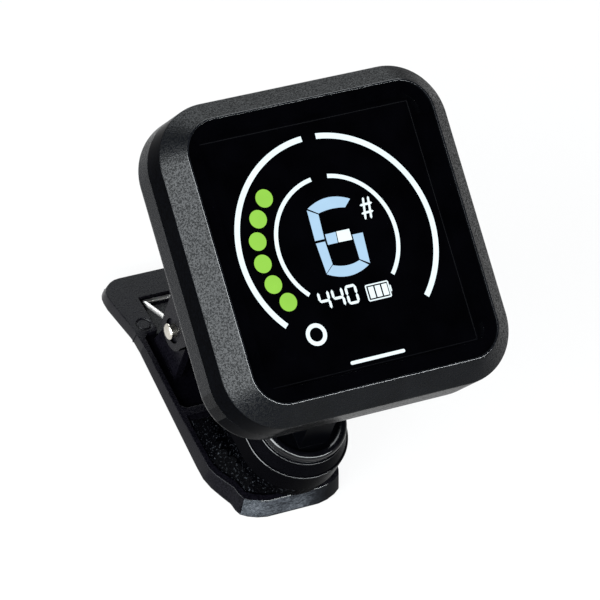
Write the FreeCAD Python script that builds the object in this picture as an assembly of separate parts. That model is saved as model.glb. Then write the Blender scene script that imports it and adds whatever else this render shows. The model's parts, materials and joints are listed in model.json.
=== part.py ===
import FreeCAD, Part
import math
import os

# Clip-on tuner lying on the outer face of its rear clip lever, display up.
# Millimetres. +X is the display's right, +Y runs from the jaw tips to the thumb
# plates, +Z is up. The origin is the middle of the bounding box's lowest face.
#
# The object is symmetric about X = 0 but for its port, and every angle in it turns
# about X. So three frames are enough, each turned about X in the next one:
#   head frame    origin at the window's centre, y up the display, z out of it
#   front frame   origin at the swivel's centre on the front lever's face
#   rear frame    origin at the rear lever's tip, y along its outer face

Vector = FreeCAD.Vector

# ---- Driving dimensions ----

# Head
head_w = 47.0
head_h = 48.6
head_d = 12.8
head_corner_r = 8.8
window_w = 40.0
window_h = 42.2
window_corner_r = 5.0
window_t = 1.2
bezel_lip = 0.15
bezel_chamfer_depth = 3.0
parting_z = -7.7
wall = 1.6
rear_edge_r = 1.8
edge_r = 0.4
gap = 0.05

# Head tilt hinge, in the head frame
hinge_y = -17.5
hinge_z = -19.0
hinge_lug_r = 3.0
hinge_lug_inner = 3.2
hinge_lug_t = 2.0
tilt_pin_r = 1.0
tilt_head_r = 1.8
tilt_head_t = 0.5

# Swivel on the front lever, in the front frame
stem_height = 15.0
stem_half_w = 2.4
stem_base_y = 4.4
stem_eye_r = 2.6
disc_r = 5.8
disc_bottom = 0.3
disc_top = 3.2
stub_r = 2.2
collar_r = 7.95
collar_step_r = 7.05
collar_step_h = 2.2
collar_rim_r = 6.2
collar_rim_tube = 0.7
turret_r = 8.25

# Front lever, in the front frame
jaw_t = 3.7
lever_half_w = 10.2
lever_ear_inner = 8.9
thumb_end_y = 36.5
thumb_rise = 4.1
plate_t = 2.0
front_ear_r = 3.2
pivot_y = 22.4
pivot_z = -4.6

# Rear lever, in the rear frame
rear_tip_y = -8.15
rear_tip_z = -12.0
rear_slope = 6.6
rear_len = 47.4
rear_half_w = 11.6
thumb_half_w = 12.75
thumb_bend_y = 35.4
thumb_bend = 9.0
rear_tip_t = 3.4
rear_tip_lean = 1.25
rear_draft = 0.4
rear_back_lean = 1.0
rear_edge_in = 0.5
rear_floor_t = 1.3
rear_pocket_half_w = 10.4
spring_pocket_half_w = 7.9
spring_pocket_end = 42.2
mark_r = 1.25
rear_ear_inner = 7.3
rear_ear_outer = 8.7
rear_ear_r = 2.6
tooth_pitch = 1.5
tooth_depth = 0.5

# Pivot and spring
rivet_r = 1.0
rivet_half_len = 10.8
rivet_head_r = 1.3
rivet_head_t = 0.4
wire_r = 0.35
wire_bend_extra = 0.015
coil_r = 1.75
coil_outer_x = 6.95
coil_inner_x = 4.4
coil_turns = 3
spring_leg_angle = 25.0
spring_leg_len = 6.3
spring_seat_y = 41.75
spring_seat_z = 0.4

# Buttons on the top side
button_w = 6.2
button_h = 2.4
button_proud = 0.12
button_z = -5.5
button_spacing = 10.0
button_clearance = 0.1
button_depth = 2.6

# Pose
head_tilt = 16.5
reach = 60.0


# ---- Shape helpers ----

def rounded_wire(half_w, half_h, r, z):
    """Closed rounded rectangle in the plane at height z."""
    s = r * math.sin(math.radians(45))
    x0 = half_w - r
    y0 = half_h - r
    edges = []
    corners = [(1, 1), (-1, 1), (-1, -1), (1, -1)]
    for i, (sx, sy) in enumerate(corners):
        a = Vector(sx * half_w, sy * y0, z)
        b = Vector(sx * (x0 + s), sy * (y0 + s), z)
        c = Vector(sx * x0, sy * half_h, z)
        if i % 2:
            a, c = c, a
        edges.append(Part.Arc(a, b, c).toShape())
    ends = [(e.Vertexes[0].Point, e.Vertexes[-1].Point) for e in edges]
    lines = []
    for i in range(4):
        lines.append(Part.makeLine(ends[i][1], ends[(i + 1) % 4][0]))
    return Part.Wire([edges[0], lines[0], edges[1], lines[1], edges[2], lines[2], edges[3], lines[3]])


def rounded_block(half_w, half_h, r, z0, z1):
    """Rounded rectangle standing from z0 to z1."""
    face = Part.Face(rounded_wire(half_w, half_h, r, z0))
    return face.extrude(Vector(0, 0, z1 - z0))


def box(x0, x1, y0, y1, z0, z1):
    """Box between two corners."""
    return Part.makeBox(x1 - x0, y1 - y0, z1 - z0, Vector(x0, y0, z0))


def disc(x, y, z0, z1, r):
    """Upright cylinder from z0 to z1."""
    return Part.makeCylinder(r, z1 - z0, Vector(x, y, z0))


def rod(x0, x1, y, z, r):
    """Cylinder along X."""
    return Part.makeCylinder(r, x1 - x0, Vector(x0, y, z), Vector(1, 0, 0))


def section(points, x0, x1):
    """Outline of (y, z) points, extruded from x0 to x1."""
    corners = [Vector(x0, y, z) for y, z in points]
    return Part.Face(Part.makePolygon(corners + corners[:1])).extrude(Vector(x1 - x0, 0, 0))


def plan(points, z0, z1):
    """Outline of (x, y) points, extruded from z0 to z1."""
    corners = [Vector(x, y, z0) for x, y in points]
    return Part.Face(Part.makePolygon(corners + corners[:1])).extrude(Vector(0, 0, z1 - z0))


def mirrored(points):
    """Right-hand half outline, from the tip to the far end, made whole about X = 0."""
    return points + [(-x, y) for x, y in reversed(points) if x > 0]


def revolved(points):
    """Outline of (r, z) points, turned about Z."""
    corners = [Vector(r, 0, z) for r, z in points]
    face = Part.Face(Part.makePolygon(corners + corners[:1]))
    return face.revolve(Vector(0, 0, 0), Vector(0, 0, 1), 360)


def fuse(first, *others):
    """One solid with its seams removed."""
    return first.fuse(list(others)).removeSplitter()


def fillet_where(shape, radius, test):
    """Fillets the edges whose middle passes the test."""
    edges = [e for e in shape.Edges if test(e.BoundBox)]
    return shape.makeFillet(radius, edges)


def tooth_grooves(y0, y1, z, depth, half_w):
    """V grooves across X, one each tooth pitch, cut to a depth below (or above) z."""
    cuts = []
    for i in range(int((y1 - y0) / tooth_pitch)):
        y = y0 + tooth_pitch * i
        over = math.copysign(0.2, depth)
        w = tooth_pitch * 0.36
        cuts.append(section([(y - w, z + over), (y + w, z + over), (y, z - depth)], -half_w, half_w))
    return cuts


# ---- Frames ----

def turn_x(degrees, pivot, move):
    """Placement that turns about X at a pivot, then moves it to a point."""
    spin = FreeCAD.Rotation(Vector(1, 0, 0), degrees)
    return FreeCAD.Placement(move - spin.multVec(pivot), spin)


thumb_slope = math.tan(math.radians(thumb_bend))
thumb_reach = rear_len - rear_edge_in - thumb_bend_y
thumb_end = thumb_bend_y + thumb_reach * math.cos(math.radians(thumb_bend))
thumb_drop = thumb_reach * math.sin(math.radians(thumb_bend))
rest_length = thumb_end - rear_edge_in
rest_angle = rear_slope + math.degrees(math.atan2(thumb_drop, rest_length))
head_to_front = turn_x(head_tilt, Vector(0, hinge_y, hinge_z), Vector(0, 0, stem_height))
rear_to_front = turn_x(-rear_slope, Vector(0, 0, 0), Vector(0, rear_tip_y, rear_tip_z))
front_to_ground = turn_x(rest_angle, Vector(0, 0, 0), Vector(0, 0, 0))
pivot_in_rear = rear_to_front.inverse().multVec(Vector(0, pivot_y, pivot_z))


# ---- Head ----

screw_spots = [(sx * 18.4, sy * 19.0) for sx in (-1, 1) for sy in (-1, 1)]
board_spots = [(sx * 14.5, 19.6) for sx in (-1, 1)]
button_spots = [-button_spacing, 0.0, button_spacing]
board_z0 = -7.0
board_z1 = -6.0
port_y = 4.0
port_z = board_z0 - 1.6
half_w = head_w / 2
half_h = head_h / 2


def port_slot(half_y, half_z, x0, x1):
    """Slot with round ends along Y, extruded along X at the charging port."""
    straight = half_y - half_z
    core = box(x0, x1, port_y - straight, port_y + straight, port_z - half_z, port_z + half_z)
    ends = [rod(x0, x1, port_y + s * straight, port_z, half_z) for s in (-1, 1)]
    return fuse(core, *ends)


def make_front_bezel():
    outer = rounded_block(half_w, half_h, head_corner_r, parting_z, -bezel_chamfer_depth)
    front = Part.makeLoft([
        rounded_wire(half_w, half_h, head_corner_r, -bezel_chamfer_depth),
        rounded_wire(window_w / 2 + 0.25, window_h / 2 + 0.25, window_corner_r + 0.25, bezel_lip),
    ], True, True)
    shape = fuse(outer, front)
    shape = fillet_where(shape, edge_r, lambda b: abs(b.ZMin + bezel_chamfer_depth) < 0.01 and b.ZLength < 0.01)
    shape = shape.cut(rounded_block(half_w - wall, half_h - wall, head_corner_r - wall, parting_z - 1, -4.2))
    shape = shape.cut(rounded_block(18.6, 19.6, 3.6, -4.5, bezel_lip + 1))
    shape = shape.cut(rounded_block(window_w / 2, window_h / 2, window_corner_r, -window_t - 0.25, bezel_lip + 1))
    for x, y in screw_spots:
        shape = shape.fuse(disc(x, y, board_z0 - 2.0, -4.2, 2.0))
        shape = shape.cut(disc(x, y, board_z0 - 3.0, -5.0, 0.75))
    for x, y in board_spots:
        shape = shape.fuse(disc(x, y, board_z1, -4.2, 1.6))
        shape = shape.cut(disc(x, y, board_z1 - 1.0, -4.8, 0.5))
    for x in button_spots:
        hw = button_w / 2 + button_clearance
        hh = button_h / 2 + button_clearance
        shape = shape.cut(box(x - hw, x + hw, half_h - wall - 1, half_h + 1, button_z - hh, button_z + hh))
    shape = shape.cut(port_slot(4.6, 1.7, half_w - wall - 1, half_w + 1))
    notch = box(-half_w - 1, -half_w + 0.5, 7.4, 10.4, parting_z - 1, parting_z + 0.35)
    return shape.cut(notch).removeSplitter()


def make_rear_shell():
    back = -head_d
    shape = rounded_block(half_w, half_h, head_corner_r, back, parting_z)
    shape = fillet_where(shape, rear_edge_r, lambda b: abs(b.ZMax - back) < 0.01)
    shape = shape.cut(rounded_block(half_w - wall, half_h - wall, head_corner_r - wall, back + wall, 0))
    for side in (-1, 1):
        inner = side * hinge_lug_inner
        outer = side * (hinge_lug_inner + hinge_lug_t)
        x0, x1 = min(inner, outer), max(inner, outer)
        web = section([
            (hinge_y - hinge_lug_r, hinge_z),
            (hinge_y + hinge_lug_r, hinge_z),
            (hinge_y + hinge_lug_r + 1.6, back + 0.5),
            (hinge_y - hinge_lug_r - 0.6, back + 0.5),
        ], x0, x1)
        shape = shape.fuse([web, rod(x0, x1, hinge_y, hinge_z, hinge_lug_r)])
    shape = shape.cut(rod(-reach, reach, hinge_y, hinge_z, tilt_pin_r))
    for x, y in screw_spots:
        shape = shape.fuse(disc(x, y, back + wall - 0.1, board_z0 - 2.05, 2.5))
        shape = shape.cut(disc(x, y, back - 1, back + 1.2, 1.75))
        shape = shape.cut(disc(x, y, back, -5.0, 0.95))
    shape = shape.cut(port_slot(4.6, 1.7, half_w - wall - 1, half_w + 1))
    return shape.removeSplitter()


def make_shell_screws():
    screws = []
    for x, y in screw_spots:
        head = disc(x, y, -head_d + 0.35, -head_d + 1.2, 1.6)
        recess = [
            box(x - 0.9, x + 0.9, y - 0.16, y + 0.16, -head_d, -head_d + 0.75),
            box(x - 0.16, x + 0.16, y - 0.9, y + 0.9, -head_d, -head_d + 0.75),
        ]
        shank = disc(x, y, -head_d + 1.2, -5.4, 0.75)
        screws.append(head.cut(recess).fuse(shank).removeSplitter())
    return Part.makeCompound(screws)


def make_main_board():
    shape = rounded_block(20.6, 21.6, 4.0, board_z0, board_z1)
    for x, y in screw_spots:
        shape = shape.cut(disc(x, y, board_z0 - 1, board_z1 + 1, 2.8))
        shape = shape.cut(box(min(x, 2 * x), max(x, 2 * x), min(y, 2 * y), max(y, 2 * y), board_z0 - 1, board_z1 + 1))
    return shape.removeSplitter()


def make_board_chips():
    chips = [
        box(-14.0, -7.0, -19.0, -12.0, board_z0 - 1.0, board_z0),
        box(-17.5, -14.8, -8.0, -5.0, board_z0 - 0.7, board_z0),
        box(8.0, 12.0, -18.0, -15.0, board_z0 - 0.8, board_z0),
        box(14.5, 17.5, -9.0, -4.5, board_z0 - 0.9, board_z0),
    ]
    return Part.makeCompound(chips)


def make_key_switches():
    switches = []
    for x in button_spots:
        body = box(x - 2.2, x + 2.2, 19.2, 21.2, board_z1, board_z1 + 1.7)
        plunger = Part.makeCylinder(0.7, 0.3, Vector(x, 21.2, board_z1 + 0.85), Vector(0, 1, 0))
        switches.append(body.fuse(plunger).removeSplitter())
    return Part.makeCompound(switches)


def make_button(x):
    """Cap in the bezel's top wall, with its flange behind the wall."""
    z0 = button_z - button_h / 2
    z1 = button_z + button_h / 2
    inner = half_h - wall - 0.1
    cap = box(x - button_w / 2, x + button_w / 2, inner, half_h + button_proud, z0, z1)
    cap = fillet_where(cap, 0.35, lambda b: abs(b.YMin - half_h - button_proud) < 0.01)
    flange = box(x - button_w / 2 - 0.5, x + button_w / 2 + 0.5, inner - 0.6, inner, z0 - 0.3, z1)
    return fuse(cap, flange)


def make_charge_port():
    outer = port_slot(4.47, 1.58, half_w - 7.3, half_w - 0.4)
    mouth = port_slot(4.17, 1.28, half_w - 6.6, half_w)
    tongue = box(half_w - 6.7, half_w - 1.4, port_y - 3.3, port_y + 3.3, port_z - 0.35, port_z + 0.35)
    return outer.cut(mouth).fuse(tongue).removeSplitter()


def make_tilt_pin():
    end = hinge_lug_inner + hinge_lug_t
    pin = rod(-end, end, hinge_y, hinge_z, tilt_pin_r)
    heads = [
        rod(end, end + tilt_head_t, hinge_y, hinge_z, tilt_head_r),
        rod(-end - tilt_head_t, -end, hinge_y, hinge_z, tilt_head_r),
    ]
    return fuse(pin, *heads)


def make_tilt_washers():
    rings = []
    for x in (-hinge_lug_inner + gap, stem_half_w + gap):
        width = hinge_lug_inner - stem_half_w - 2 * gap
        ring = rod(x, x + width, hinge_y, hinge_z, hinge_lug_r - 0.3)
        rings.append(ring.cut(rod(x - 1, x + 2, hinge_y, hinge_z, tilt_pin_r + gap)))
    return Part.makeCompound(rings)


def make_head():
    """Pieces of the head, in the head frame."""
    cell = (17.6, 18.6)
    gasket = rounded_block(window_w / 2 - 0.2, window_h / 2 - 0.2, window_corner_r - 0.2, -window_t - 0.2, -window_t)
    gasket = gasket.cut(rounded_block(18.7, 19.7, 3.6, -window_t - 1, 0))
    return {
        "front_bezel": make_front_bezel(),
        "display_window": rounded_block(
            window_w / 2 - gap, window_h / 2 - gap, window_corner_r - gap, -window_t, 0),
        "window_gasket": gasket,
        "lcd_panel": rounded_block(cell[0], cell[1], 1.0, -3.0, -1.4),
        "backlight_panel": rounded_block(cell[0], cell[1], 1.0, -4.2, -3.1),
        "main_board": make_main_board(),
        "board_chips": make_board_chips(),
        "key_switches": make_key_switches(),
        "charge_port": make_charge_port(),
        "battery_pack": fillet_where(
            box(-13.0, 9.0, -8.0, 18.0, -11.0, -8.1), 0.8, lambda b: b.ZLength > 2),
        "battery_foam": box(-11.0, 7.0, -6.0, 16.0, -8.05, board_z0),
        "piezo_pickup": disc(0, -14.6, -head_d + wall, -head_d + wall + 0.5, 5.2),
        "rear_shell": make_rear_shell(),
        "shell_screws": make_shell_screws(),
        "down_button": make_button(button_spots[0]),
        "power_button": make_button(button_spots[1]),
        "up_button": make_button(button_spots[2]),
        "tilt_pin": make_tilt_pin(),
        "tilt_washers": make_tilt_washers(),
    }


# ---- Swivel ----

def make_swivel_stem():
    eye = rod(-stem_half_w, stem_half_w, 0, stem_height, stem_eye_r)
    post = section([
        (-stem_base_y, disc_top - 0.2),
        (stem_base_y, disc_top - 0.2),
        (stem_eye_r, stem_height),
        (-stem_eye_r, stem_height),
    ], -stem_half_w, stem_half_w)
    shape = fuse(disc(0, 0, disc_bottom, disc_top, disc_r), post, eye, disc(0, 0, -1.5, disc_bottom, stub_r))
    shape = shape.cut(rod(-reach, reach, 0, stem_height, tilt_pin_r + gap))
    return shape.cut(disc(0, 0, -2, disc_top - 0.4, 1.0))


def make_socket_collar():
    """Stepped cone with a round rim that holds the swivel's disc down."""
    cone = revolved([
        (disc_r + 0.1, 0.0),
        (collar_r, 0.0),
        (collar_step_r, collar_step_h),
        (collar_step_r - 0.25, collar_step_h + 0.15),
        (collar_rim_r + 0.2, collar_step_h + 0.15),
        (collar_rim_r, disc_top + 0.1),
        (disc_r + 0.1, disc_top + 0.1),
    ])
    rim = Part.makeTorus(collar_rim_r, collar_rim_tube, Vector(0, 0, disc_top + 0.1))
    skirt = disc(0, 0, disc_top - 2, disc_top + 0.1, disc_r + 0.1)
    return fuse(cone, rim.cut(skirt))


def make_swivel_screw():
    head = disc(0, 0, -3.2, -2.05, 3.0)
    slot = box(-2.2, 2.2, -0.4, 0.4, -3.3, -2.7)
    return fuse(head, disc(0, 0, -2.05, disc_top - 0.5, 1.0)).cut(slot)


def make_spring_washer():
    return disc(0, 0, -2.05, -1.65, 3.4).cut(disc(0, 0, -3, 0, 1.1))


def make_swivel():
    """Pieces that turn on the front lever, in the front frame."""
    return {
        "swivel_stem": make_swivel_stem(),
        "swivel_screw": make_swivel_screw(),
        "spring_washer": make_spring_washer(),
    }


# ---- Front lever ----

def front_outline(inset):
    """Right half of the front lever's plan, from its round tip to the thumb end."""
    r = turret_r - inset
    points = []
    for i in range(0, 19):
        a = math.radians(-90 + 5 * i)
        points.append((r * math.cos(a), r * math.sin(a)))
    points[0] = (0.0, -r)
    points += [
        (lever_half_w - inset, 18.0),
        (lever_half_w - inset, 27.0),
        (9.6 - inset, 34.0),
        (8.9 - inset, 35.7),
        (7.4 - inset, thumb_end_y - inset),
    ]
    return points


def make_front_lever():
    body = plan(mirrored(front_outline(0)), -jaw_t, thumb_rise + 1)
    profile = section([
        (-turret_r - 1, 0.0),
        (17.5, 0.0),
        (thumb_end_y, thumb_rise),
        (thumb_end_y, thumb_rise - plate_t),
        (18.5, -plate_t),
        (13.0, -jaw_t),
        (-turret_r - 1, -jaw_t),
    ], -reach, reach)
    shape = body.common(profile)
    shape = fillet_where(shape, 0.25, lambda b: b.ZMin > -0.01 and b.ZMax < 0.01 and b.YMax < 17.4)
    for side in (-1, 1):
        x0 = min(side * lever_ear_inner, side * lever_half_w)
        x1 = x0 + lever_half_w - lever_ear_inner
        tab = section([
            (pivot_y + front_ear_r, pivot_z),
            (26.4, 0.6),
            (17.8, -0.8),
            (pivot_y - front_ear_r, pivot_z),
        ], x0, x1)
        shape = shape.fuse([tab, rod(x0, x1, pivot_y, pivot_z, front_ear_r)])
        face = side * lever_half_w
        shape = shape.cut(rod(min(face, face - side * 0.4), max(face, face - side * 0.4), pivot_y, pivot_z, 2.0))
    shape = shape.cut(rod(-reach, reach, pivot_y, pivot_z, rivet_r + gap))
    shape = shape.cut(disc(0, 0, -10, 10, stub_r + gap))
    shape = shape.cut(disc(0, 0, -jaw_t - 1, -1.6, 4.2))
    for i in range(3):
        y = 28.5 + 2.4 * i
        z = thumb_rise * (y - 17.5) / (thumb_end_y - 17.5)
        shape = shape.fuse(rod(-6.5, 6.5, y, z - 0.05, 0.45))
    return shape.removeSplitter()


def make_front_pad():
    """Rubber pad that closes the underside of the front jaw."""
    bottom = -6.45
    low = 0.5
    outline = [(x, min(y, 12.0)) for x, y in front_outline(low)[:19]] + [(8.6, 12.0)]
    shape = plan(mirrored(outline), bottom, -jaw_t)
    shape = shape.cut(tooth_grooves(-6.2, 11.6, bottom, -tooth_depth, reach))
    return shape.removeSplitter()


# ---- Rear lever ----

def rear_outline(inset):
    """Right half of the rear lever's plan on its outer face, from its tip to the thumb end."""
    w = rear_half_w
    points = [
        (0.0, 0.0), (4.6, 0.0), (6.2, 0.3), (7.6, 0.85), (8.6, 1.5), (9.0, 2.4),
        (w - 2.4, 3.6), (w - 1.5, 5.3), (w - 0.6, 7.2), (w - 0.1, 9.0), (w, 11.5),
        (w, 33.0), (w + 0.2, 36.0), (w + 0.7, 39.5), (thumb_half_w, 42.5),
    ]
    corner = 3.4
    for i in range(0, 7):
        a = math.radians(15 * i)
        points.append((
            thumb_half_w - corner * (1 - math.cos(a)),
            rear_len - corner * (1 - math.sin(a)),
        ))
    points.append((0.0, rear_len))
    return [(max(x - inset, 0.0), min(y + inset, rear_len - inset)) for x, y in points]


def rear_outline_at(z, inset=0.0):
    """The plan at a height: the walls lean in as they rise, and the tip's face most of all."""
    share = z / rear_tip_t
    points = []
    for x, y in rear_outline(inset):
        lean = rear_tip_lean * max(0.0, min(1.0, (9.2 - y) / 5.0))
        back = -rear_back_lean * max(0.0, min(1.0, (y - 42.5) / 4.0))
        points.append((max(x - rear_draft * share, 0.0) if x > 0 else 0.0, y + (lean + back) * share))
    return points


def rear_section():
    """Side view of the rear lever's upper side, longer than the lever itself."""
    return [
        (-9.0, -9.0),
        (-9.0, rear_tip_t),
        (12.0, rear_tip_t - 0.1),
        (20.0, 2.8),
        (30.0, 2.5),
        (36.0, 2.25),
        (rear_len + 9.0, -0.85),
        (rear_len + 9.0, -9.0),
    ]


def outline_face(points, z):
    """Closed wire of a half outline, at a height."""
    corners = [Vector(x, y, z) for x, y in mirrored(points)]
    return Part.makePolygon(corners + corners[:1])


def rear_walls():
    """Outer walls on a flat face, with the lower edge rounded in steps."""
    levels = [(0.0, rear_edge_in), (0.2, 0.18), (0.6, 0.0), (6.0, 0.0)]
    return Part.makeLoft([outline_face(rear_outline_at(z, inset), z) for z, inset in levels], True, True)


def make_rear_lever():
    bend = Vector(0, thumb_bend_y, 0)
    arm = rear_walls().common(box(-reach, reach, -1, thumb_bend_y, -1, 9))
    thumb = rear_walls()
    thumb.Placement = turn_x(-thumb_bend, bend, bend)
    thumb = thumb.common(box(-reach, reach, thumb_bend_y, reach, -9, 9))
    shape = arm.fuse(thumb).common(section(rear_section(), -reach, reach)).removeSplitter()
    w = rear_pocket_half_w
    inner = plan(mirrored([(0.0, 20.5), (w - 0.7, 20.5), (w, 21.2), (w, 34.4), (w - 0.7, 35.2), (0.0, 35.2)]), 0, 8)
    above_floor = section([(0, rear_floor_t), (reach, rear_floor_t), (reach, 9), (0, 9)], -reach, reach)
    shape = shape.cut(inner.common(above_floor))
    seat = plan(mirrored(rear_outline_at(rear_tip_t, 0.9)), rear_tip_t - 0.9, 8)
    shape = shape.cut(seat.common(box(-reach, reach, -1, 19.0, 0, 9)))
    pocket = box(-spring_pocket_half_w, spring_pocket_half_w, 35.0, spring_pocket_end, -3, 8)
    above_plate = section([
        (34.0, rear_floor_t),
        (thumb_bend_y, 1.05),
        (reach, 1.05 - thumb_slope * (reach - thumb_bend_y)),
        (reach, 9),
        (34.0, 9),
    ], -reach, reach)
    shape = shape.cut(pocket.common(above_plate))
    for side in (-1, 1):
        x0 = min(side * rear_ear_inner, side * rear_ear_outer)
        x1 = x0 + rear_ear_outer - rear_ear_inner
        py, pz = pivot_in_rear.y, pivot_in_rear.z
        tab = section([
            (26.7, 0.8), (34.6, 0.8), (py + rear_ear_r, pz), (py - rear_ear_r, pz)], x0, x1)
        shape = shape.fuse([tab, rod(x0, x1, py, pz, rear_ear_r)])
    shape = shape.cut(rod(-reach, reach, pivot_in_rear.y, pivot_in_rear.z, rivet_r))
    for side in (-1, 1):
        x, y = side * 9.5, 36.9
        ring = disc(x, y, -1, 5, mark_r).cut(disc(x, y, -2, 6, mark_r - 0.3))
        keep = section([(30, 2.34), (36, 2.09), (50, -0.37), (50, -9), (30, -9)], -reach, reach)
        shape = shape.cut(ring.cut(keep))
    return shape.removeSplitter()


def make_rear_pad():
    """Rubber pad in the rear jaw's seat: upright below, sloping sides, grooved top."""
    z0 = rear_tip_t - 0.9
    z1 = rear_tip_t + 0.1
    z2 = rear_tip_t + 2.0
    end = 18.6

    def outline(inset, z):
        points = [(x, y) for x, y in rear_outline_at(rear_tip_t, inset) if y < end - inset - 1]
        points.append((rear_half_w - rear_draft - inset, end - inset))
        return outline_face(points, z)

    base = Part.Face(outline(1.0, z0)).extrude(Vector(0, 0, z1 - z0))
    top = Part.makeLoft([outline(1.0, z1), outline(2.5, z2)], True, True)
    shape = fuse(base, top)
    return shape.cut(tooth_grooves(3.4, end - 2.0, z2, tooth_depth, reach)).removeSplitter()


def make_pivot_rivet():
    shape = rod(-rivet_half_len, rivet_half_len, pivot_y, pivot_z, rivet_r)
    heads = []
    for x in (rivet_half_len, -rivet_half_len - rivet_head_t):
        heads.append(rod(x, x + rivet_head_t, pivot_y, pivot_z, rivet_head_r))
    return fuse(shape, *heads)


def wire_run(a, b):
    """Straight wire between two points, with a ball at its end."""
    way = b - a
    return Part.makeCylinder(wire_r, way.Length, a, way).fuse(Part.makeSphere(wire_r + wire_bend_extra, b))


def make_torsion_spring():
    """Two coils on the rivet, joined by the cross bar in the thumb plate.

    The inner leg of each coil bears on the front thumb plate, from below.
    """
    seat = rear_to_front.multVec(Vector(0, spring_seat_y, spring_seat_z))
    arm = Vector(0, seat.y - pivot_y, seat.z - pivot_z)
    to_seat = math.degrees(math.atan2(arm.z, arm.y))
    leave = to_seat - math.degrees(math.acos(coil_r / arm.Length))
    arrive = spring_leg_angle + 90
    turns = coil_turns + ((leave - arrive) % 360) / 360
    length = coil_outer_x - coil_inner_x
    pitch = length / turns
    ring = Part.Wire(Part.makeCircle(wire_r, Vector(coil_r, 0, 0), Vector(0, coil_r, pitch / (2 * math.pi))))
    coil = Part.Wire(Part.makeHelix(pitch, length, coil_r)).makePipeShell([ring], True, True)
    upright = FreeCAD.Rotation(Vector(0, 1, 0), Vector(0, 0, 1), Vector(1, 0, 0), "ZXY")
    spin = FreeCAD.Rotation(Vector(1, 0, 0), arrive).multiply(upright)
    coil.Placement = FreeCAD.Placement(Vector(coil_inner_x, pivot_y, pivot_z), spin)

    def on_coil(x, degrees):
        a = math.radians(degrees)
        return Vector(x, pivot_y + coil_r * math.cos(a), pivot_z + coil_r * math.sin(a))

    start = on_coil(coil_inner_x, arrive)
    end = on_coil(coil_outer_x, leave)
    run = Vector(0, math.cos(math.radians(spring_leg_angle)), math.sin(math.radians(spring_leg_angle)))
    half_bar = wire_run(Vector(0, seat.y, seat.z), Vector(coil_outer_x, seat.y, seat.z))
    half = fuse(
        coil,
        wire_run(start + run * spring_leg_len, start),
        wire_run(Vector(coil_outer_x, seat.y, seat.z), end),
        half_bar,
    )
    return half.fuse(half.mirror(Vector(0, 0, 0), Vector(1, 0, 0))).removeSplitter()


# ---- Assembly ----

def placed(pieces, placement):
    """The pieces with one more placement."""
    moved = {}
    for name, shape in pieces.items():
        copy = shape.copy()
        copy.Placement = placement.multiply(copy.Placement)
        moved[name] = copy
    return moved


def build():
    """Every node, in the object's frame, and the front frame's placement there."""
    front = make_swivel()
    front.update(placed(make_head(), head_to_front))
    front.update({
        "socket_collar": make_socket_collar(),
        "front_lever": make_front_lever(),
        "front_pad": make_front_pad(),
        "pivot_rivet": make_pivot_rivet(),
        "torsion_spring": make_torsion_spring(),
    })
    rear = {"rear_lever": make_rear_lever(), "rear_pad": make_rear_pad()}
    front.update(placed(rear, rear_to_front))
    nodes = placed(front, front_to_ground)
    bounds = Part.makeCompound(list(nodes.values())).optimalBoundingBox(False)
    shift = Vector(-bounds.Center.x, -bounds.Center.y, -bounds.ZMin)
    lift = FreeCAD.Placement(shift, FreeCAD.Rotation())
    return placed(nodes, lift), lift.multiply(front_to_ground)


def report_points(frame):
    """Prints the joint axes and the interfaces, in metres, in the object's frame."""
    head = frame.multiply(head_to_front)
    rear = frame.multiply(rear_to_front)
    named = {
        "pivot": frame.multVec(Vector(0, pivot_y, pivot_z)),
        "swivel": frame.multVec(Vector(0, 0, 0)),
        "tilt": frame.multVec(Vector(0, 0, stem_height)),
        "window": head.multVec(Vector(0, 0, 0)),
        "rear_pad": rear.multVec(Vector(0, 3.4 + 4.5 * tooth_pitch, rear_tip_t + 2.0)),
        "front_pad": frame.multVec(Vector(0, -6.2 + 5.5 * tooth_pitch, -6.45)),
        "port": head.multVec(Vector(half_w, port_y, port_z)),
        "rear_face": rear.multVec(Vector(0, 20, 0)),
    }
    for name, p in named.items():
        print(name, [round(v / 1000, 6) for v in (p.x, p.y, p.z)])
    for name, place in (("front_z", frame), ("head_z", head), ("rear_z", rear)):
        v = place.Rotation.multVec(Vector(0, 0, 1))
        print(name, [round(c, 6) for c in (v.x, v.y, v.z)])


def main():
    os.makedirs("parts", exist_ok=True)
    nodes, frame = build()
    for name, shape in nodes.items():
        for solid in shape.Solids:
            if not solid.isValid():
                print("not valid:", name)
        shape.exportStep(os.path.join("parts", name + ".step"))
    print(len(nodes), "nodes")
    report_points(frame)


main()
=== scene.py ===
import json
import math

import bmesh
import bpy
from mathutils import Matrix, Vector


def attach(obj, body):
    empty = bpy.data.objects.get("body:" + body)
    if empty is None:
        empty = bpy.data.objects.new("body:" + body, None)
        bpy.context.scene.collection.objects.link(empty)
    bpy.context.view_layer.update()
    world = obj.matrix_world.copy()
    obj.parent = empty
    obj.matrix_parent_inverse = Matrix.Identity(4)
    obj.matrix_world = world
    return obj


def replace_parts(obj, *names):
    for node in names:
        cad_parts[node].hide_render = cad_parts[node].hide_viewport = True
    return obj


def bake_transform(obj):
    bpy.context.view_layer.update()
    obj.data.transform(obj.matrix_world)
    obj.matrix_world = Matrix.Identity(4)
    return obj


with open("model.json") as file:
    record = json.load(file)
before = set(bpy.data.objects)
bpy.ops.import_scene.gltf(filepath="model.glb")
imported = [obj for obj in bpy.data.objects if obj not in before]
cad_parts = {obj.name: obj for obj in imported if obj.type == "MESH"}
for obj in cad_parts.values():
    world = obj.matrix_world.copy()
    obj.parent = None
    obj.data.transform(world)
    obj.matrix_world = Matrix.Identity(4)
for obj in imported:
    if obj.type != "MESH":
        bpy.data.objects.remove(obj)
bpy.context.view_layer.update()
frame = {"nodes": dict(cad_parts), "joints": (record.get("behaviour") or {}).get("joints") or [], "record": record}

MM = 0.001
X = Vector((1, 0, 0))
record = frame["record"]
nodes = frame["nodes"]
joints = {j["name"]: j for j in frame["joints"]}
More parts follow.
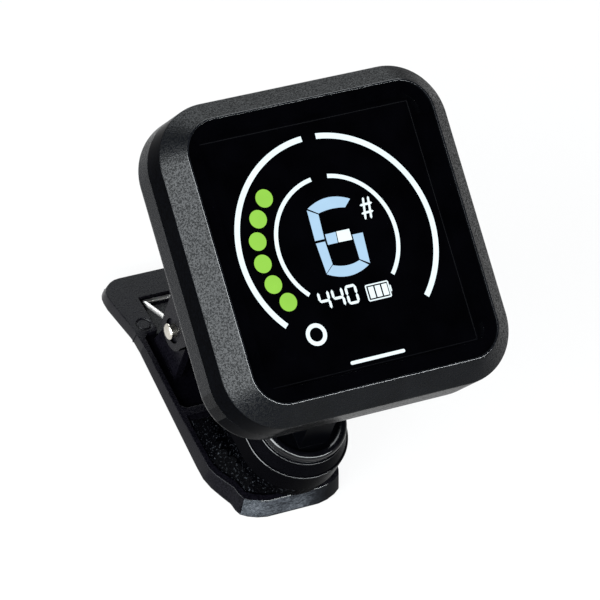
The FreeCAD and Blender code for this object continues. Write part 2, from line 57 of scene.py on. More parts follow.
mounts = {m["name"]: m for m in record["mounts"]}


# ---- Frames: the head's, the front lever's and the rear lever's, in millimetres ----

def span(node, direction):
    """Lowest and highest reach of a node along a direction."""
    reach = [v.co.dot(direction) for v in nodes[node].data.vertices]
    return min(reach), max(reach)


def local_frame(y, z, at_y, at_z):
    """Frame in millimetres with X across, whose origin lies at_y and at_z along its axes."""
    turn = Matrix((X, y, z)).transposed().to_4x4()
    return Matrix.Translation(y * at_y + z * at_z) @ turn @ Matrix.Scale(MM, 4)


head_y = -Vector(joints["power_press"]["axis"])
head_z = X.cross(head_y)
window_y = span("display_window", head_y)
window_z = span("display_window", head_z)
HEAD = local_frame(head_y, head_z, sum(window_y) / 2, window_z[1])

front_z = Vector(joints["swivel_turn"]["axis"])
front_y = front_z.cross(X)
swivel = Vector(joints["swivel_turn"]["pos_m"])
FRONT = local_frame(front_y, front_z, swivel.dot(front_y), swivel.dot(front_z))

rear_z = Vector(mounts["rear_jaw_face"]["axis"])
rear_y = rear_z.cross(X)
back = Vector(mounts["clip_back"]["pos_m"])
REAR = local_frame(rear_y, rear_z, span("rear_lever", rear_y)[0], back.dot(rear_z))


# ---- Shader building blocks ----

def tree(name):
    """New material: the material, its node tree, its shader."""
    mat = bpy.data.materials.new(name)
    mat.use_nodes = True
    nt = mat.node_tree
    return mat, nt, nt.nodes["Principled BSDF"]


def own_place(nt):
    """The surface point in the piece's own coordinates."""
    return nt.nodes.new("ShaderNodeTexCoord").outputs["Object"]


def noise(nt, scale, detail=4, rough=0.5, coord=None):
    """Noise over the piece's own coordinates; scale counts features per metre."""
    if coord is None:
        coord = own_place(nt)
    n = nt.nodes.new("ShaderNodeTexNoise")
    n.inputs["Scale"].default_value = scale
    n.inputs["Detail"].default_value = detail
    n.inputs["Roughness"].default_value = rough
    nt.links.new(coord, n.inputs["Vector"])
    return n.outputs["Fac"]


def ramp(nt, fac, stops):
    """Colour ramp; each stop is (place, grey or colour)."""
    r = nt.nodes.new("ShaderNodeValToRGB")
    while len(r.color_ramp.elements) < len(stops):
        r.color_ramp.elements.new(0.5)
    for e, (at, c) in zip(r.color_ramp.elements, stops):
        e.position = at
        e.color = (c, c, c, 1) if isinstance(c, (int, float)) else (*c, 1)
    nt.links.new(fac, r.inputs["Fac"])
    return r.outputs["Color"]


def bump(nt, height, depth, normal=None):
    """Normal moved by a height of full strength; depth is in millimetres."""
    b = nt.nodes.new("ShaderNodeBump")
    b.inputs["Strength"].default_value = 1.0
    b.inputs["Distance"].default_value = depth * MM
    nt.links.new(height, b.inputs["Height"])
    if normal is not None:
        nt.links.new(normal, b.inputs["Normal"])
    return b.outputs["Normal"]


def maths(nt, kind, a, b):
    """Math node on two sockets or numbers."""
    m = nt.nodes.new("ShaderNodeMath")
    m.operation = kind
    for socket, value in zip(m.inputs, (a, b)):
        if isinstance(value, (int, float)):
            socket.default_value = value
        else:
            nt.links.new(value, socket)
    return m.outputs[0]


def blend_of(nt, coarse, fine, share):
    """Two noises added, the coarse one by its share."""
    return maths(nt, "ADD", maths(nt, "MULTIPLY", coarse, share), maths(nt, "MULTIPLY", fine, 1 - share))


def eased(nt, radius):
    """Normal with the edges eased over a radius in millimetres."""
    b = nt.nodes.new("ShaderNodeBevel")
    b.samples = 6
    b.inputs["Radius"].default_value = radius * MM
    return b.outputs["Normal"]


def plastic(name, dark, light, rough, grain, depth, gloss, edge=0.06):
    """Moulded plastic: mottled colour, and a grain that moves both the roughness and the surface."""
    mat, nt, p = tree(name)
    cloud_scale = 160
    cloud = noise(nt, cloud_scale, 5, 0.6)
    fine = noise(nt, grain, 2, 0.6)
    mottle = blend_of(nt, cloud, fine, 0.3)
    nt.links.new(ramp(nt, mottle, [(0.38, dark), (0.64, light)]), p.inputs["Base Color"])
    nt.links.new(ramp(nt, fine, [(0.42, rough[0]), (0.58, rough[1])]), p.inputs["Roughness"])
    p.inputs["Specular IOR Level"].default_value = gloss
    nt.links.new(bump(nt, fine, depth, eased(nt, edge)), p.inputs["Normal"])
    return mat


def metal(name, dark, light, rough):
    """Plated or drawn metal with fine scratches and dull patches."""
    mat, nt, p = tree(name)
    tint_scale, patch_scale, scratch_scale, scratch_depth = 500, 1400, 9000, 0.002
    nt.links.new(ramp(nt, noise(nt, tint_scale), [(0.3, dark), (0.7, light)]), p.inputs["Base Color"])
    nt.links.new(ramp(nt, noise(nt, patch_scale), [(0.3, rough[0]), (0.7, rough[1])]), p.inputs["Roughness"])
    p.inputs["Metallic"].default_value = 1.0
    nt.links.new(bump(nt, noise(nt, scratch_scale, 2), scratch_depth), p.inputs["Normal"])
    return mat


def lit(name, colour, strength):
    """Display mark: backlit colour, a little uneven as through a diffuser."""
    mat, nt, p = tree(name)
    dimmed = tuple(0.92 * c for c in colour)
    glow = ramp(nt, noise(nt, 260, 3), [(0.3, dimmed), (0.7, colour)])
    nt.links.new(glow, p.inputs["Emission Color"])
    p.inputs["Base Color"].default_value = (0.01, 0.01, 0.01, 1)
    p.inputs["Emission Strength"].default_value = strength
    p.inputs["Roughness"].default_value = 0.6
    p.inputs["Specular IOR Level"].default_value = 0.0
    return mat


def pad_finish():
    """Dark rubber with paler crumbs."""
    mat, nt, p = tree("pad_rubber")
    crumbs = noise(nt, 3000, 2, 0.6)
    dark, pale = (0.0001, 0.0001, 0.0002), (0.011, 0.012, 0.014)
    nt.links.new(ramp(nt, crumbs, [(0.6, dark), (0.74, pale)]), p.inputs["Base Color"])
    nt.links.new(ramp(nt, crumbs, [(0.4, 0.4), (0.6, 0.2)]), p.inputs["Roughness"])
    nt.links.new(bump(nt, crumbs, 0.08, eased(nt, 0.06)), p.inputs["Normal"])
    p.inputs["Specular IOR Level"].default_value = 0.002
    return mat


def paint_tip_reflection():
    """End face of the clip with a painted reflection: pale streaks across the tip that thin out towards its right
    side.
    """
    mat, nt, p = tree("tip_painted_reflection")
    across = nt.nodes.new("ShaderNodeMapping")
    across.inputs["Scale"].default_value = (0.45, 1.0, 1.0)
    nt.links.new(own_place(nt), across.inputs["Vector"])
    streaks = noise(nt, 700, 3, 0.55, across.outputs["Vector"])
    brushed = noise(nt, 5200, 3, 0.6, across.outputs["Vector"])
    reflection_streaks = blend_of(nt, streaks, brushed, 0.4)

    split = nt.nodes.new("ShaderNodeSeparateXYZ")
    nt.links.new(own_place(nt), split.inputs["Vector"])
    reflection_fade = nt.nodes.new("ShaderNodeMapRange")
    reflection_fade.inputs["From Min"].default_value = 1.5 * MM
    reflection_fade.inputs["From Max"].default_value = 6.5 * MM
    reflection_fade.inputs["To Min"].default_value = 1.03
    reflection_fade.inputs["To Max"].default_value = 0.3
    nt.links.new(split.outputs["X"], reflection_fade.inputs["Value"])
    # Painted reflection: the streaks lighten the base colour and fade out towards the right side.
    painted_reflection = maths(nt, "MULTIPLY", reflection_streaks, reflection_fade.outputs["Result"])

    tones = [(0.2, (0.0006, 0.0007, 0.001)), (0.38, (0.004, 0.0045, 0.0055)),
             (0.54, (0.019, 0.021, 0.024)), (0.7, (0.044, 0.047, 0.052))]
    nt.links.new(ramp(nt, painted_reflection, tones), p.inputs["Base Color"])
    nt.links.new(ramp(nt, brushed, [(0.3, 0.3), (0.7, 0.42)]), p.inputs["Roughness"])
    nt.links.new(bump(nt, brushed, 0.008, eased(nt, 0.08)), p.inputs["Normal"])
    p.inputs["Specular IOR Level"].default_value = 0.03
    return mat


def window_finish():
    """Smoked clear front over the display."""
    mat, nt, p = tree("window_smoke")
    dark, light = (0.0002, 0.0002, 0.0003), (0.0005, 0.0005, 0.0008)
    nt.links.new(ramp(nt, noise(nt, 220), [(0.3, dark), (0.7, light)]), p.inputs["Base Color"])
    nt.links.new(ramp(nt, noise(nt, 260), [(0.35, 0.02), (0.7, 0.06)]), p.inputs["Roughness"])
    p.inputs["Specular IOR Level"].default_value = 0.0
    p.inputs["Alpha"].default_value = 0.4
    return mat


# ---- Finishes: two tones and roughness range; plastics add grain per metre, depth in mm, specular level ----

pitch = (0.0001, 0.0001, 0.0002)
ink = (0.0004, 0.0005, 0.0008)
soot = (0.002, 0.0023, 0.0033)

grain_black = plastic("bezel_grain", (0.0002, 0.0003, 0.0004), (0.002, 0.0022, 0.0028),
                      (0.56, 0.1), 4000, 0.05, 0.068)
# Painted shade: darker, almost unreflective copy of the bezel finish for its side walls.
bezel_shade_black = plastic("bezel_painted_shade", pitch, ink, (0.13, 0.22), 2700, 0.008, 0.002)
shell_black = plastic("shell_grain", ink, (0.001, 0.0012, 0.0018), (0.2, 0.42), 4200, 0.06, 0.066)
# Painted shade: darker, less reflective copies of the shell finish for the shell wall as it turns down.
shell_shade_light = plastic("shell_painted_shade_light", pitch, ink, (0.2, 0.36), 3400, 0.04, 0.042)
shell_shade_mid = plastic("shell_painted_shade_mid", pitch, ink, (0.18, 0.32), 2700, 0.03, 0.02)
shell_shade_deep = plastic("shell_painted_shade_deep", pitch, ink, (0.14, 0.24), 2700, 0.01, 0.003)
lever_black = plastic("lever_satin", (0.0004, 0.0004, 0.0007), (0.0014, 0.0012, 0.0021),
                      (0.26, 0.42), 3600, 0.02, 0.06)
# Painted highlight: lighter, glossier copy of the lever finish for the thumb plate's left edge.
lever_lit_black = plastic("lever_painted_highlight", (0.0005, 0.0005, 0.0008), (0.0018, 0.0017, 0.0025),
                     (0.26, 0.42), 3600, 0.02, 0.12)
# Painted shade: darker, unreflective copy of the lever finish for the lever's hollow and the tip's right flank.
lever_shade_black = plastic("lever_painted_shade", (0.0002, 0.0002, 0.0004), (0.0008, 0.0007, 0.0012),
                      (0.3, 0.45), 3600, 0.02, 0.0)
# Painted shade: near-black, almost unreflective copy of the collar's finish for the collar's cone.
collar_shade_black = plastic("collar_painted_shade", (0.0002, 0.0002, 0.0003), (0.0006, 0.0006, 0.0009),
                    (0.2, 0.3), 5200, 0.003, 0.01, edge=0.03)
stem_black = plastic("stem_satin", pitch, ink, (0.3, 0.4), 6000, 0.005, 0.02)
gloss_black = plastic("collar_gloss", (0.0003, 0.0003, 0.0005), (0.0008, 0.0008, 0.0012),
                      (0.14, 0.22), 3000, 0.002, 0.22)
button_black = plastic("button_gloss", (0.001, 0.001, 0.0013), (0.002, 0.002, 0.0025),
                       (0.2, 0.28), 4000, 0.002, 0.12)
cell_black = plastic("cell_black", (0.0001, 0.0001, 0.0002), (0.0003, 0.0003, 0.0005),
                     (0.2, 0.3), 3000, 0.001, 0.0)
# Painted shade: near-black, almost unreflective copy of the lever finish for the front lever's nose.
jaw_shade_black = plastic("jaw_painted_shade", pitch, (0.0004, 0.0004, 0.0006), (0.2, 0.3), 5200, 0.003, 0.003, edge=0.03)
# Painted highlight: lighter, much glossier copy of the bezel finish for the lip round the window.
lip_painted_highlight = plastic("lip_painted_highlight", ink, soot, (0.16, 0.24), 3000, 0.001, 0.55, edge=0.03)
# Painted highlight: lighter, much glossier copy of the lever finish for the tip's upper edge.
tip_edge_highlight = plastic("tip_edge_highlight", ink, soot, (0.26, 0.34), 3000, 0.001, 0.6, edge=0.03)
wire_steel = metal("wire_steel", (0.7, 0.69, 0.67), (0.86, 0.85, 0.83), (0.3, 0.42))
nickel = metal("nickel", (0.4, 0.37, 0.32), (0.58, 0.55, 0.49), (0.22, 0.36))
black_steel = metal("black_steel", (0.03, 0.03, 0.032), (0.06, 0.06, 0.06), (0.3, 0.45))
white_plastic = plastic("acetal", (0.6, 0.6, 0.57), (0.72, 0.72, 0.69), (0.35, 0.5), 4000, 0.004, 0.45)
board_green = plastic("board_green", (0.01, 0.09, 0.03), (0.02, 0.13, 0.05), (0.3, 0.4), 3000, 0.004, 0.35)
brass_disc = metal("brass_disc", (0.6, 0.42, 0.16), (0.72, 0.52, 0.24), (0.25, 0.4))
pouch = metal("pouch_foil", (0.5, 0.5, 0.52), (0.62, 0.62, 0.64), (0.3, 0.45))
rubber_black = pad_finish()
# Painted reflection on the clip's end face.
tip_painted_reflection = paint_tip_reflection()
window_smoke = window_finish()

finishes = {
    "bezel": grain_black, "shell": shell_black, "window": window_smoke, "display": gloss_black,
    "light_guide": white_plastic, "foam": rubber_black, "board": board_green, "chips": rubber_black,
    "switches": nickel, "port_metal": nickel, "cell_wrap": pouch, "pickup": brass_disc,
    "screw_steel": black_steel, "buttons": button_black, "pin_steel": nickel, "washers": white_plastic,
    "stem": stem_black, "spring_steel": nickel, "collar": gloss_black, "lever": lever_black,
    "pad": rubber_black, "rivet": nickel, "spring_wire": wire_steel,
}
for sub in record["subparts"]:
    node = nodes[sub["node"]]
    node.data.materials.clear()
    node.data.materials.append(finishes[sub["material_slot"]])


# ---- Building pieces ----

def finished(name, mesh, body, material, smooth):
    """Object of a mesh with one material, smooth up to an angle, riding on a body."""
    mesh.materials.clear()
    mesh.materials.append(material)
    mesh.shade_smooth()
    mesh.set_sharp_from_angle(angle=math.radians(smooth))
    obj = bpy.data.objects.new(name, mesh)
    bpy.context.scene.collection.objects.link(obj)
    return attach(obj, body)


def clean_mesh(name, node):
    """The node's mesh with its seams joined and its flat faces whole."""
    seam = 0.002 * MM
    flat = math.radians(0.6)
    bm = bmesh.new()
    bm.from_mesh(nodes[node].data)
    bmesh.ops.remove_doubles(bm, verts=bm.verts, dist=seam)
    bmesh.ops.dissolve_limit(bm, angle_limit=flat, verts=bm.verts, edges=bm.edges)
    mesh = bpy.data.meshes.new(name)
    bm.to_mesh(mesh)
    bm.free()
    mesh.normals_split_custom_set([(0, 0, 0)] * len(mesh.loops))
    return mesh


def softened(node, body, material, width, clamp=True):
    """Stands for a CAD node, with its sharp edges rounded by a width in millimetres."""
    draft = bpy.data.objects.new(node + "_draft", clean_mesh(node + "_draft", node))
    bpy.context.scene.collection.objects.link(draft)
    if width > 0:
        bevel = draft.modifiers.new("edges", "BEVEL")
        bevel.width = width * MM
        bevel.segments = 3
        bevel.use_clamp_overlap = clamp
        bevel.limit_method = "ANGLE"
        bevel.angle_limit = math.radians(32)
    bpy.context.view_layer.update()
    shaped = draft.evaluated_get(bpy.context.evaluated_depsgraph_get())
    mesh = bpy.data.meshes.new_from_object(shaped)
    mesh.name = node + "_mesh"
    bpy.data.objects.remove(draft)
    obj = finished(node + "_piece", mesh, body, material, 38)
    weighted = obj.modifiers.new("flat_faces", "WEIGHTED_NORMAL")
    weighted.keep_sharp = True
    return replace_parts(obj, node)


def piece(name, verts, faces, space, body, material, smooth):
    """New mesh from points in one of the frames, riding on a body."""
    mesh = bpy.data.meshes.new(name)
    mesh.from_pydata([space @ Vector(v) for v in verts], [], faces)
    bm = bmesh.new()
    bm.from_mesh(mesh)
    bmesh.ops.recalc_face_normals(bm, faces=bm.faces)
    bm.to_mesh(mesh)
    bm.free()
    return finished(name, mesh, body, material, smooth)


def refinish(obj, material, space, test):
    """Gives a second finish to the faces whose middle and normal, in a frame, pass the test."""
    obj.data.materials.append(material)
    inverse = space.inverted()
    turned = inverse.to_3x3().normalized()
    for face in obj.data.polygons:
        if test(inverse @ face.center, turned @ face.normal):
            face.material_index = len(obj.data.materials) - 1


def lathe(points, steps):
    """Closed ring of (radius, height) points turned about Z: vertices and faces."""
    n = len(points)
    verts = []
    for i in range(steps):
        a = 2 * math.pi * i / steps
        verts += [(r * math.cos(a), r * math.sin(a), z) for r, z in points]
    faces = []
    for i in range(steps):
        j = (i + 1) % steps
        for k in range(n):
            m = (k + 1) % n
            faces.append((i * n + k, j * n + k, j * n + m, i * n + m))
    return verts, faces


def arc_points(cx, cy, r, a0, a1, steps):
    """Points on an arc, in degrees."""
    angles = [math.radians(a0 + (a1 - a0) * i / steps) for i in range(steps + 1)]
    return [(cx + r * math.cos(a), cy + r * math.sin(a)) for a in angles]


# ---- Head, levers, stem and collar, standing for their CAD nodes ----

def bezel_piece():
    """Front frame: grained chamfer, side walls with painted shade, and a painted highlight from a glossier copy of
    the finish on the lip round the window.
    """
    wall_top, lip_foot = -2.8, -0.35
    obj = softened("front_bezel", "head", grain_black, 0.12)
    # Painted shade on the side walls.
    refinish(obj, bezel_shade_black, HEAD, lambda at, n: n.z < 0.25 and at.z < wall_top)
    # Painted highlight on the lip round the window.
    refinish(obj, lip_painted_highlight, HEAD, lambda at, n: at.z > lip_foot and n.z > 0.75)


def shell_piece():
    """Back shell with painted shade: its finish gets darker, less reflective copies step by step as its wall turns
    down.
    """
    obj = softened("rear_shell", "head", shell_black, 0.15)
    # Painted shade, deeper at each step down.
    for material, down in ((shell_shade_light, 0.08), (shell_shade_mid, 0.3), (shell_shade_deep, 0.5)):
        refinish(obj, material, HEAD, lambda at, n: n.y < -down)


def rear_lever_piece():
    """Wide lever: painted shade in its hollow and on the tip's right flank, a painted highlight along the thumb
    plate's left edge, a painted reflection on the tip's end face, and a painted highlight on the tip's upper edge.
    """
    hollow_half, hollow_start, hollow_end, hollow_floor, hollow_rim = 10.5, 2, 36, 0.05, 2.1
    thumb_start = 31
    tip_end, tip_edge, tip_flank, tip_foot, tip_shoulder = 1.7, 1.2, 8, 0.5, 2.5

    def in_hollow(at, n):
        along = hollow_start < at.y < hollow_end
        return abs(at.x) < hollow_half and along and hollow_floor < at.z < hollow_rim and n.z > 0.3

    def thumb_edge(at, n):
        return at.y > thumb_start and n.x < -0.3 and n.z > -0.9

    def right_flank(at, n):
        return at.y < tip_flank and at.z > 0.2 and n.x > 0.7 and abs(n.z) < 0.5

    def end_face(at, n):
        return at.y < tip_end and at.z > tip_foot and n.y < -0.5 and n.x < 0.75

    def end_edge(at, n):
        return at.y < tip_edge and at.z > tip_shoulder and -0.97 < n.y < -0.2 and n.z > 0.2

    obj = softened("rear_lever", "rear_clip", lever_black, 0.12, clamp=False)
    # Painted shade in the hollow.
    refinish(obj, lever_shade_black, REAR, in_hollow)
    # Painted highlight along the thumb plate's left edge.
    refinish(obj, lever_lit_black, REAR, thumb_edge)
    # Painted shade on the tip's right flank.
    refinish(obj, lever_shade_black, REAR, right_flank)
    # Painted reflection on the tip's end face.
    refinish(obj, tip_painted_reflection, REAR, end_face)
    # Painted highlight along the tip's upper edge.
    refinish(obj, tip_edge_highlight, REAR, end_edge)


def front_lever_piece():
    """Front jaw's lever: painted shade over its nose, a painted highlight from a glossier finish on the edge round
    the top of its nose, and satin sides behind the collar.
    """
    nose_end, sides_start, edge_half = 17, 18, 0.26
    # Painted shade over the nose.
    obj = softened("front_lever", "front_jaw", jaw_shade_black, 0)
    # Painted highlight: the collar's glossier finish on the edge round the top of the nose.
    refinish(obj, gloss_black, FRONT,
             lambda at, n: abs(at.z) < edge_half and at.y < nose_end and 0.3 < n.z < 0.95)
    refinish(obj, lever_black, FRONT, lambda at, n: at.y > sides_start and abs(n.x) > 0.8)


def collar_piece():
    """Collar: a cone with an eased top edge, and a round rim standing on its step; painted shade on the cone,
    glossy from the shoulder up.
    """
    bore, bore_top, foot_r, foot_z = 5.9, 3.0, 7.93, 0.02
    shoulder_r, shoulder_z, ease, step_r = 6.86, 2.0, 0.2, 6.64
    gloss_start = 1.97
    rim_r, rim_z, rim_bead = 6.2, 3.3, 0.7
    shoulder = arc_points(shoulder_r, shoulder_z, ease, 22, 90, 6)
    rim = arc_points(rim_r, rim_z, rim_bead, -60, 205, 28)
    outline = [(bore, foot_z), (foot_r, foot_z)] + shoulder
    outline += [(step_r, shoulder_z + ease)] + rim + [(bore, bore_top)]
    verts, faces = lathe(outline, 96)
    # Painted shade on the cone below the shoulder.
    obj = piece("collar_ring", verts, faces, FRONT, "front_jaw", collar_shade_black, 50)
    refinish(obj, gloss_black, FRONT, lambda at, n: at.z > gloss_start)
    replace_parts(obj, "socket_collar")


bezel_piece()
shell_piece()
rear_lever_piece()
front_lever_piece()
softened("swivel_stem", "swivel", stem_black, 0.3)
collar_piece()


# ---- Display marks, in the head frame ----

def bow(x0, y0, x1, y1, rise):
    """Points of a shallow arch between two points."""
    steps = 16
    points = []
    for i in range(steps + 1):
        t = i / steps
        points.append((x0 + (x1 - x0) * t, y0 + (y1 - y0) * t + rise * 4 * t * (1 - t)))
    return points


def sides(x0, y0, x1, y1):
    """The four sides of a rectangle, each as a stroke."""
    corners = [(x0, y0), (x1, y0), (x1, y1), (x0, y1)]
    return [(*a, *b) for a, b in zip(corners, corners[1:] + corners[:1])]


def rounded_corners(half_x, half_y, r):
    """Corner arcs of a rounded rectangle, anticlockwise from the right."""
    points = []
    for sx, sy, start in ((1, 1, 0), (-1, 1, 90), (-1, -1, 180), (1, -1, 270)):
        points += arc_points(sx * (half_x - r), sy * (half_y - r), r, start, start + 90, 10)
    return points


class Marks:
    """Thin flat marks of one finish on the display."""

    def __init__(self, bottom, thick):
        self.z0 = bottom
        self.z1 = bottom + thick
        self.verts = []
        self.faces = []

    def outline(self, points):
        """Outline raised as a thin plate."""
        n = len(points)
        k = len(self.verts)
        self.verts += [(x, y, self.z0) for x, y in points] + [(x, y, self.z1) for x, y in points]
        self.faces.append(tuple(range(k + n, k + 2 * n)))
        self.faces.append(tuple(reversed(range(k, k + n))))
        for i in range(n):
            j = (i + 1) % n
            self.faces.append((k + i, k + j, k + n + j, k + n + i))

    def arc(self, cx, cy, r, width, a0, a1):
        """Ring sector with square ends."""
        outer = arc_points(cx, cy, r + width / 2, a0, a1, 72)
        inner = arc_points(cx, cy, r - width / 2, a1, a0, 72)
        self.outline(outer + inner)

    def dot(self, cx, cy, r):
        """Round dot."""
        self.outline(arc_points(cx, cy, r, 0, 360, 48)[:-1])

    def stroke(self, x0, y0, x1, y1, width):
        """Straight stroke with pointed ends."""
        a = Vector((x0, y0))
        b = Vector((x1, y1))
        along = (b - a).normalized() * width / 2
        side = Vector((-along.y, along.x))
        corners = [a - along * 0.4, a + along - side, b - along - side,
                   b + along * 0.4, b - along + side, a + along + side]
        self.outline([(c.x, c.y) for c in corners])

    def ring(self, outer, inner):
        """Flat frame between two outlines with as many points each."""
        n = len(outer)
        for i in range(n):
            j = (i + 1) % n
            self.outline([outer[i], outer[j], inner[j], inner[i]])

    def place(self, name, material):
        """The marks as one piece on the head."""
        return piece(name, self.verts, self.faces, HEAD, "head", material, 20)


cell_top = -2.2
mark_t = 0.02
ring_y = 0.4


def ring_marks():
    """Outer and inner ring, each in two halves with gaps at the top and bottom."""
    outer_r, outer_w = 15.65, 0.85
    inner_r, inner_w = 9.62, 0.62
    rings = Marks(cell_top, mark_t)
    rings.arc(0, ring_y, outer_r, outer_w, -43.5, 85)
    rings.arc(0, ring_y, outer_r, outer_w, 93.5, 222)
    rings.arc(0, ring_y, inner_r, inner_w, -43, 82)
    rings.arc(0, ring_y, inner_r, inner_w, 98, 225)
    rings.place("display_arcs", lit("lit_white", (0.84, 0.97, 1.0), 3.2))


def dot_marks():
    """Six dots on a circle between the rings."""
    circle_r, dot_r, first, pitch_angle = 12.55, 1.36, 138.5, 15.2
    dots = Marks(cell_top, mark_t)
    for i in range(6):
        a = math.radians(first + pitch_angle * i)
        dots.dot(circle_r * math.cos(a), ring_y + circle_r * math.sin(a), dot_r)
    dots.place("display_dots", lit("lit_green", (0.34, 0.73, 0.085), 2.8))


def note_marks():
    """Large segment figure, and the needle block in its middle."""
    note = Marks(cell_top, mark_t)
    note.outline(bow(-3.2, 5.85, 3.85, 5.95, 0.95) + bow(2.7, 4.88, -1.7, 4.85, 0.24))
    note.outline([(-3.38, 5.65), (-1.78, 4.7), (-1.96, 1.03), (-3.5, 1.03)])
    note.outline([(-1.66, 1.66), (0.08, 1.68), (-0.05, 0.08), (-1.66, 0.08)])
    note.outline([(-3.48, 0.66), (-1.98, 0.66), (-1.84, -2.8), (-3.2, -3.92)])
    note.outline(bow(-3.2, -4.04, 3.75, -4.06, -0.95) + bow(2.5, -3.1, -1.85, -2.95, -0.4))
    note.outline([(2.56, 0.75), (4.28, 0.73), (4.02, -3.85), (2.58, -2.95)])
    note.place("display_note", lit("lit_blue", (0.47, 0.7, 0.92), 2.9))

    needle = Marks(cell_top, mark_t)
    needle.outline([(0.22, 1.71), (2.32, 1.7), (2.33, 0.05), (0.1, 0.1)])
    needle.place("display_needle", lit("lit_pale", (0.86, 0.98, 1.0), 3.2))


def sharp_sign(marks):
    """Two upright strokes crossed by two level ones."""
    for x0, y0, x1, y1 in [(5.9, 5.7, 5.35, 2.5), (6.72, 5.7, 6.3, 2.5),
                           (5.1, 4.65, 7.05, 4.72), (5.0, 3.42, 6.9, 3.5)]:
        marks.stroke(x0, y0, x1, y1, 0.34)


def reading(marks):
    """Three small segment figures; their strokes are in units of a figure's width and height."""
    four = [(0, 1, 0, 0.52), (0, 0.48, 1, 0.48), (1, 1, 1, 0.52), (1, 0.46, 1, 0)]
    nought = [(0, 1, 1, 1), (1, 0.97, 1, 0.52), (1, 0.48, 1, 0.03),
              (1, 0, 0, 0), (0, 0.03, 0, 0.48), (0, 0.52, 0, 0.97)]
    foot, wide, tall = -8.95, 1.5, 2.5
    for left, strokes in ((-5.45, four), (-3.2, four), (-0.95, nought)):
        for a, b, c, d in strokes:
            marks.stroke(left + wide * a, foot + tall * b, left + wide * c, foot + tall * d, 0.4)


def gauge(marks):
    """Charge gauge: a case with a nub at its right end, and three bars in it."""
    left, right, foot, top = 2.2, 5.85, -9.25, -6.95
    for x0, y0, x1, y1 in sides(left, foot, right, top) + [(6.1, -7.6, 6.1, -8.6)]:
        marks.stroke(x0, y0, x1, y1, 0.2)
    for i in range(3):
        x = left + 0.35 + 1.1 * i
        marks.outline([(x, foot + 0.3), (x + 0.85, foot + 0.3), (x + 0.85, top - 0.3), (x, top - 0.3)])


def plain_bar(marks):
    """Thin bar with round ends near the window's lower edge."""
    left, right, y, end_r = -3.3, 5.2, -17.4, 0.26
    marks.outline(arc_points(right, y, end_r, -90, 90, 10) + arc_points(left, y, end_r, 90, 270, 10))


def small_marks():
    """Sharp sign, reading, gauge, plain ring and plain bar."""
    small = Marks(cell_top, mark_t)
    sharp_sign(small)
    reading(small)
    gauge(small)
    small.arc(-7.5, -12.2, 1.35, 0.62, 0, 359.9)
    plain_bar(small)
    small.place("display_small_marks", lit("lit_small", (0.86, 0.97, 1.0), 3.2))


def cell_and_borders():
    """The display cell, the print round the window's inside, and the cell's faint border line, a painted highlight
    that glows.
    """
    half_x, half_y = 17.6, 18.6
    cell = Marks(-3.0, 0.78)
    cell.outline([(-half_x, -half_y), (half_x, -half_y), (half_x, half_y), (-half_x, half_y)])
    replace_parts(cell.place("display_cell", cell_black), "lcd_panel")

    printed = Marks(-0.35, 0.01)
    printed.ring(rounded_corners(19.93, 21.03, 4.93), rounded_corners(17.9, 18.9, 1.6))
    printed.place("window_print", cell_black)

    inset = 0.3
    border = Marks(cell_top - 0.02, mark_t)
    for x0, y0, x1, y1 in sides(inset - half_x, inset - half_y, half_x - inset, half_y - inset):
        border.stroke(x0, y0, x1, y1, 0.12)
    # Painted highlight: the cell's border line glows faintly.
    border.place("display_border", lit("cell_edge_painted_glow", (0.012, 0.013, 0.016), 0.7))


ring_marks()
dot_marks()
note_marks()
small_marks()
cell_and_borders()


# ---- Spring and rivet ----

pivot = Vector(joints["clip"]["pos_m"])


def spring_piece():
    """Double torsion spring, as one still piece standing for its CAD node."""
    wire = clean_mesh("spring_wire", "torsion_spring")
    spring = finished("spring_coils", wire, "rear_clip", wire_steel, 50)
    spring.parent = None
    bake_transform(spring)
    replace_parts(spring, "torsion_spring")


def rivet_piece():
    """Rivet: a shank with a domed head at each end, its edges eased."""
    shank_r = 0.99
    half = [(0.0, 11.2), (0.45, 11.19), (0.8, 11.15), (1.05, 11.08), (1.2, 10.99),
            (1.29, 10.88), (1.29, 10.84), (1.2, 10.81), (shank_r, 10.81)]
    profile = half + [(r, -z) for r, z in reversed(half)]
    verts, faces = lathe(profile, 64)
    axle = Matrix.Translation(pivot) @ Matrix.Rotation(math.radians(90), 4, "Y") @ Matrix.Scale(MM, 4)
    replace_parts(piece("rivet_turned", verts, faces, axle, "rear_clip", nickel, 40), "pivot_rivet")


spring_piece()
rivet_piece()


# ---- Floor, lights and camera ----

def floor_finish():
    """Pale floor that glows a little round the object, so that it stays white there."""
    mat, nt, p = tree("floor_white")
    nt.links.new(ramp(nt, noise(nt, 3, 2), [(0.3, 0.045), (0.7, 0.055)]), p.inputs["Base Color"])
    p.inputs["Roughness"].default_value = 0.9
    p.inputs["Specular IOR Level"].default_value = 0.0
    spread = nt.nodes.new("ShaderNodeVectorMath")
    spread.operation = "DISTANCE"
    nt.links.new(own_place(nt), spread.inputs[0])
    spread.inputs[1].default_value = (0.02, 0.02, 0)
    glow = ramp(nt, spread.outputs["Value"], [(0.0, 1.0), (0.13, 1.0), (0.22, 0.45), (0.5, 0.3)])
    nt.links.new(glow, p.inputs["Emission Color"])
    p.inputs["Emission Strength"].default_value = 0.86
    return mat


def lay_floor():
    """Square floor just under the clip's back."""
    reach = 3.0
    mesh = bpy.data.meshes.new("floor")
    corners = [(-reach, -reach, 0), (reach, -reach, 0), (reach, reach, 0), (-reach, reach, 0)]
    mesh.from_pydata(corners, [], [(0, 1, 2, 3)])
    mesh.materials.append(floor_finish())
    floor = bpy.data.objects.new("floor", mesh)
    bpy.context.scene.collection.objects.link(floor)
    floor.location.z = -0.1 * MM


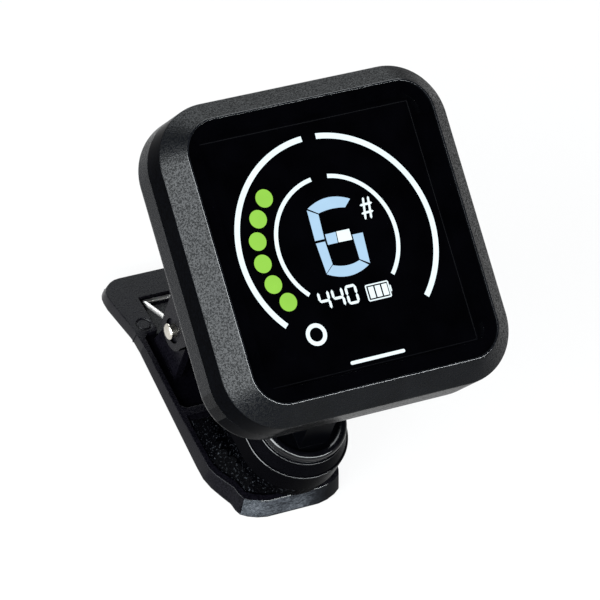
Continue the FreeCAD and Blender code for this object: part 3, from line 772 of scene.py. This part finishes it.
def softbox(name, place, aim_height, size, power):
    """Area light pointing at a height above the origin."""
    light = bpy.data.lights.new(name, "AREA")
    light.shape = "RECTANGLE"
    light.size, light.size_y = size
    light.energy = power
    light.color = (0.93, 0.98, 1.0)
    obj = bpy.data.objects.new(name, light)
    obj.location = place
    towards = Vector((0, 0, aim_height)) - Vector(place)
    obj.rotation_euler = towards.to_track_quat("-Z", "Y").to_euler()
    bpy.context.scene.collection.objects.link(obj)


def sky():
    """Dim surroundings, brightest near the horizon."""
    world = bpy.data.worlds.new("studio")
    bpy.context.scene.world = world
    world.use_nodes = True
    wn = world.node_tree
    background = wn.nodes["Background"]
    way = wn.nodes.new("ShaderNodeTexCoord")
    split = wn.nodes.new("ShaderNodeSeparateXYZ")
    wn.links.new(way.outputs["Generated"], split.inputs["Vector"])
    rise = ramp(wn, split.outputs["Z"], [(0.0, 0.5), (0.3, 0.35), (0.5, 0.05), (1.0, 0.01)])
    wn.links.new(rise, background.inputs["Color"])
    background.inputs["Strength"].default_value = 1.0


def set_camera():
    """Long lens aimed near the window's middle, from the left, the front and above, rolled a little."""
    azimuth, elevation, roll = map(math.radians, (41.838, 49.387, 21.019))
    distance = 0.66453
    offset = Vector((-7.388, -3.994, -6.774)) * MM

    camera = bpy.data.cameras.new("camera")
    camera.lens = 277.018
    camera.sensor_width = 36.0
    camera.clip_start = 0.05
    cam = bpy.data.objects.new("camera", camera)
    ground = math.cos(elevation)
    away = Vector((-math.sin(azimuth) * ground, -math.cos(azimuth) * ground, math.sin(elevation)))
    level = Vector((0, 0, 1)).cross(away).normalized()
    upright = away.cross(level)
    right = level * math.cos(roll) + upright * math.sin(roll)
    top = away.cross(right)
    pose = Matrix((right, top, away)).transposed().to_4x4()
    pose.translation = HEAD.translation + offset + away * distance
    cam.matrix_world = pose
    bpy.context.scene.collection.objects.link(cam)
    bpy.context.scene.camera = cam


lay_floor()
softbox("left_softbox", (-0.9, -0.15, 0.45), 0.03, (0.8, 0.7), 56)
softbox("back_softbox", (0.2, 1.0, 0.55), 0.03, (1.2, 0.6), 15)
softbox("front_strip", (0.2, -0.95, 0.5), 0.02, (1.3, 0.13), 33)
softbox("corner_strip", (-0.57, -0.71, 0.54), 0.02, (0.6, 0.13), 15)
sky()
view = bpy.context.scene.view_settings
view.view_transform = "Standard"
view.look = "None"
set_camera()
